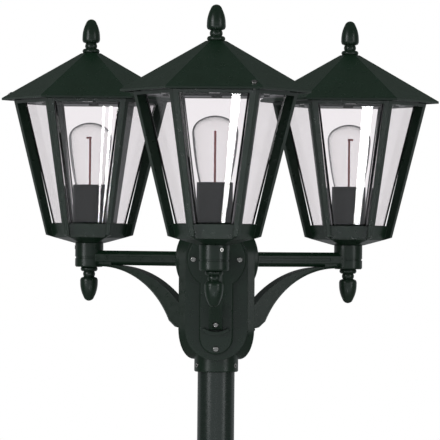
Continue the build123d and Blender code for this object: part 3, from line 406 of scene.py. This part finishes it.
class World:
    """Builds the world's nodes, one at a time."""

    def __init__(self, name):
        world = bpy.data.worlds.new(name)
        world.use_nodes = True
        bpy.context.scene.world = world
        self.tree = world.node_tree
        self.tree.nodes.clear()

    def node(self, kind):
        return self.tree.nodes.new(kind)

    def link(self, source, target):
        self.tree.links.new(source, target)

    def zone(self, source, zone):
        made = self.node("ShaderNodeMapRange")
        made.interpolation_type = "SMOOTHSTEP"
        made.inputs["From Min"].default_value = zone.edge
        made.inputs["From Max"].default_value = zone.full
        made.inputs["To Min"].default_value = zone.low
        made.inputs["To Max"].default_value = zone.high
        self.link(source, made.inputs["Value"])
        return made.outputs["Result"]

    def calculate(self, operation, *terms):
        """One operation on numbers and other nodes' values."""
        made = self.node("ShaderNodeMath")
        made.operation = operation
        for number, term in enumerate(terms):
            if isinstance(term, float):
                made.inputs[number].default_value = term
            else:
                self.link(term, made.inputs[number])
        return made.outputs["Value"]

    def background(self, colour, level):
        made = self.node("ShaderNodeBackground")
        made.inputs["Color"].default_value = (*colour, 1)
        if isinstance(level, float):
            made.inputs["Strength"].default_value = level
        else:
            self.link(level, made.inputs["Strength"])
        return made.outputs["Background"]

    def mix(self, share, first, second):
        """The second shader where the share is 1, and the first where it is 0."""
        made = self.node("ShaderNodeMixShader")
        self.link(share, made.inputs["Fac"])
        self.link(first, made.inputs[1])
        self.link(second, made.inputs[2])
        return made.outputs["Shader"]


def make_world():
    """White all round to the camera and through glass, a plain soft level on the object."""
    world = World("studio")
    paths = world.node("ShaderNodeLightPath").outputs
    split = world.node("ShaderNodeSeparateXYZ")
    world.link(world.node("ShaderNodeTexCoord").outputs["Generated"], split.inputs["Vector"])
    depth, height = split.outputs["Y"], split.outputs["Z"]

    behind = world.zone(depth, ROOM_BEHIND)
    front = world.zone(depth, ROOM_FRONT)
    ground = world.zone(height, ROOM_GROUND)
    horizon = world.zone(height, ROOM_HORIZON)
    around = world.calculate("MULTIPLY_ADD", front, ground, behind)
    room = world.calculate("MULTIPLY_ADD", around, horizon, ROOM_LEVEL)
    mirrored = world.background(ROOM_COLOUR, room)
    soft = world.background(WHITE, SOFT_LEVEL)
    backdrop = world.background(WHITE, BACKDROP_LEVEL)

    bounced = world.calculate("ADD", paths["Glossy Depth"], paths["Diffuse Depth"])
    in_mirror = world.calculate("GREATER_THAN", paths["Glossy Depth"], ONE_BOUNCE)
    lighting = world.mix(in_mirror, soft, mirrored)
    # Only what the camera sees, directly or through glass, has the white backdrop.
    straight = world.calculate("LESS_THAN", bounced, ONE_BOUNCE)
    through = world.calculate("MULTIPLY", paths["Is Transmission Ray"], straight)
    seen = world.calculate("MAXIMUM", paths["Is Camera Ray"], through)
    output = world.node("ShaderNodeOutputWorld")
    world.link(world.mix(seen, lighting, backdrop), output.inputs["Surface"])


# ----------------------------------------------------------------------- lamps
LAMP_AIM = Vector((0, 0, 1.75))
# The top lamp only lights, and the other two also show in reflections.
SOFTBOXES = {
    "softbox_left": {"spot": (-2.6, -2.6, 2.6), "width": 1.0, "height": 2.0, "watts": 24, "mirrored": True},
    "softbox_right": {"spot": (2.8, -2.2, 2.3), "width": 0.8, "height": 2.0, "watts": 9, "mirrored": True},
    "softbox_top": {"spot": (0.2, 0.6, 4.2), "width": 1.6, "height": 1.6, "watts": 14, "mirrored": False},
}


def softbox(name, spot, width, height, watts, mirrored):
    data = bpy.data.lights.new(name, "AREA")
    data.shape = "RECTANGLE"
    data.size = width
    data.size_y = height
    data.energy = watts
    lamp = bpy.data.objects.new(name, data)
    bpy.context.scene.collection.objects.link(lamp)
    lamp.location = spot
    lamp.rotation_euler = (LAMP_AIM - Vector(spot)).to_track_quat("-Z", "Y").to_euler()
    lamp.visible_camera = False
    lamp.visible_transmission = False
    lamp.visible_glossy = mirrored


# Each bar is the reflection of a long thin lamp in a front pane: the corners
# of the reflection, in the photograph's frame, from the top left clockwise.
BARS = {
    "front": [((232.0, 93.5), (241.0, 93.5), (224.9, 226.0), (221.2, 226.0))],
    "right": [((362.5, 106.0), (373.0, 106.0), (359.0, 232.0), (353.0, 232.0))],
    "left": [
        ((102.8, 106.0), (105.2, 106.0), (98.6, 232.0), (97.2, 232.0)),
        ((109.6, 106.0), (112.6, 106.0), (103.4, 232.0), (101.6, 232.0)),
        ((117.2, 106.0), (119.4, 106.0), (107.0, 232.0), (105.6, 232.0)),
    ],
}
BAR_DISTANCE = 3.0
BAR_STRENGTH = 26.0


def bar_material():
    made = Maker("bar_light")
    glow = made.glow(WHITE)
    glow.inputs["Strength"].default_value = BAR_STRENGTH
    made.show(glow.outputs["Emission"])
    return made.material


def make_bars():
    """Puts each thin lamp where its mirror image in the pane has the wanted corners."""
    material = bar_material()
    normal = Vector((0, -math.cos(FACE_TILT), -math.sin(FACE_TILT)))
    for head, angle in HEADS.items():
        turn = math.radians(angle)
        centre = Vector((ARM_REACH * math.cos(turn), ARM_REACH * math.sin(turn), ARM_HEIGHT))
        on_pane = centre + Vector((0, -PANE_OUT, PANE_OUT_HEIGHT))
        for number, corners in enumerate(BARS[head]):
            spots = []
            for x, y in corners:
                ray = pixel_ray(x, y)
                reach = (on_pane - CAMERA_SPOT).dot(normal) / ray.dot(normal)
                image = CAMERA_SPOT + ray * (reach + BAR_DISTANCE)
                depth = (image - on_pane).dot(normal)
                spots.append(image - normal * (2 * depth))
            bar = mesh_object(f"bar_{head}_{number}", spots, [(0, 1, 2, 3)], material)
            bar.visible_camera = False
            bar.visible_transmission = False
            bar.visible_diffuse = False
            bar.visible_shadow = False


def make_lights():
    make_world()
    for name, values in SOFTBOXES.items():
        softbox(name, **values)
    make_bars()


dress_frame()
make_camera()
make_floor()
make_lights()
bpy.context.scene.view_settings.view_transform = "Standard"
